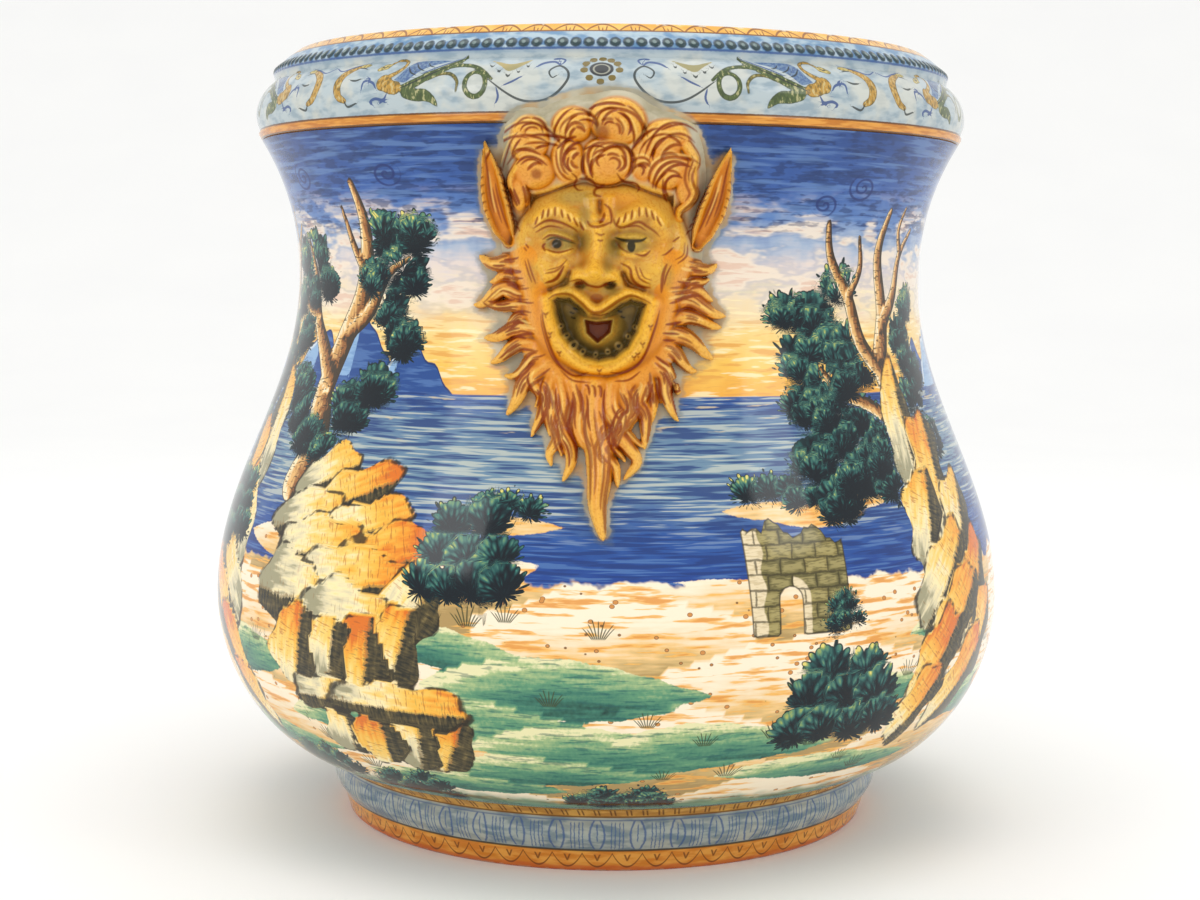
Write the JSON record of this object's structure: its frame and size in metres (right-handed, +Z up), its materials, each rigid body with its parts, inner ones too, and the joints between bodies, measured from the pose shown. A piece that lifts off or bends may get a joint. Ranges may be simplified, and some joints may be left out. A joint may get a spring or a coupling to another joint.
{
  "type": "jardiniere",
  "caption": "Bulbous majolica pot with a moulded rim collar and a foot ring, painted with a landscape and set with satyr masks in high relief.",
  "frame": {"origin": "centre of the foot ring's resting face", "axes": "+Z up along the pot's axis; the front mask faces -Y and the back mask +Y"},
  "size_m": [0.3854, 0.3854, 0.37],
  "materials": {
    "landscape": "polychrome painted tin glaze, glossy",
    "collar_white": "bluish white tin glaze painted with ornament, glossy",
    "foot_ochre": "ochre and blue-grey painted tin glaze, glossy",
    "mask_ochre": "ochre yellow painted tin glaze with brown strokes, glossy"
  },
  "bodies": {
    "root": {"body_shell": "landscape", "rim_collar": "collar_white", "foot_ring": "foot_ochre", "mask_front_face": "mask_ochre", "mask_front_hair": "mask_ochre", "mask_front_ear_left": "mask_ochre", "mask_front_ear_right": "mask_ochre", "mask_front_whiskers_left": "mask_ochre", "mask_front_whiskers_right": "mask_ochre", "mask_front_beard": "mask_ochre", "mask_back_face": "mask_ochre", "mask_back_hair": "mask_ochre", "mask_back_ear_left": "mask_ochre", "mask_back_ear_right": "mask_ochre", "mask_back_whiskers_left": "mask_ochre", "mask_back_whiskers_right": "mask_ochre", "mask_back_beard": "mask_ochre"}
  },
  "joints": []
}
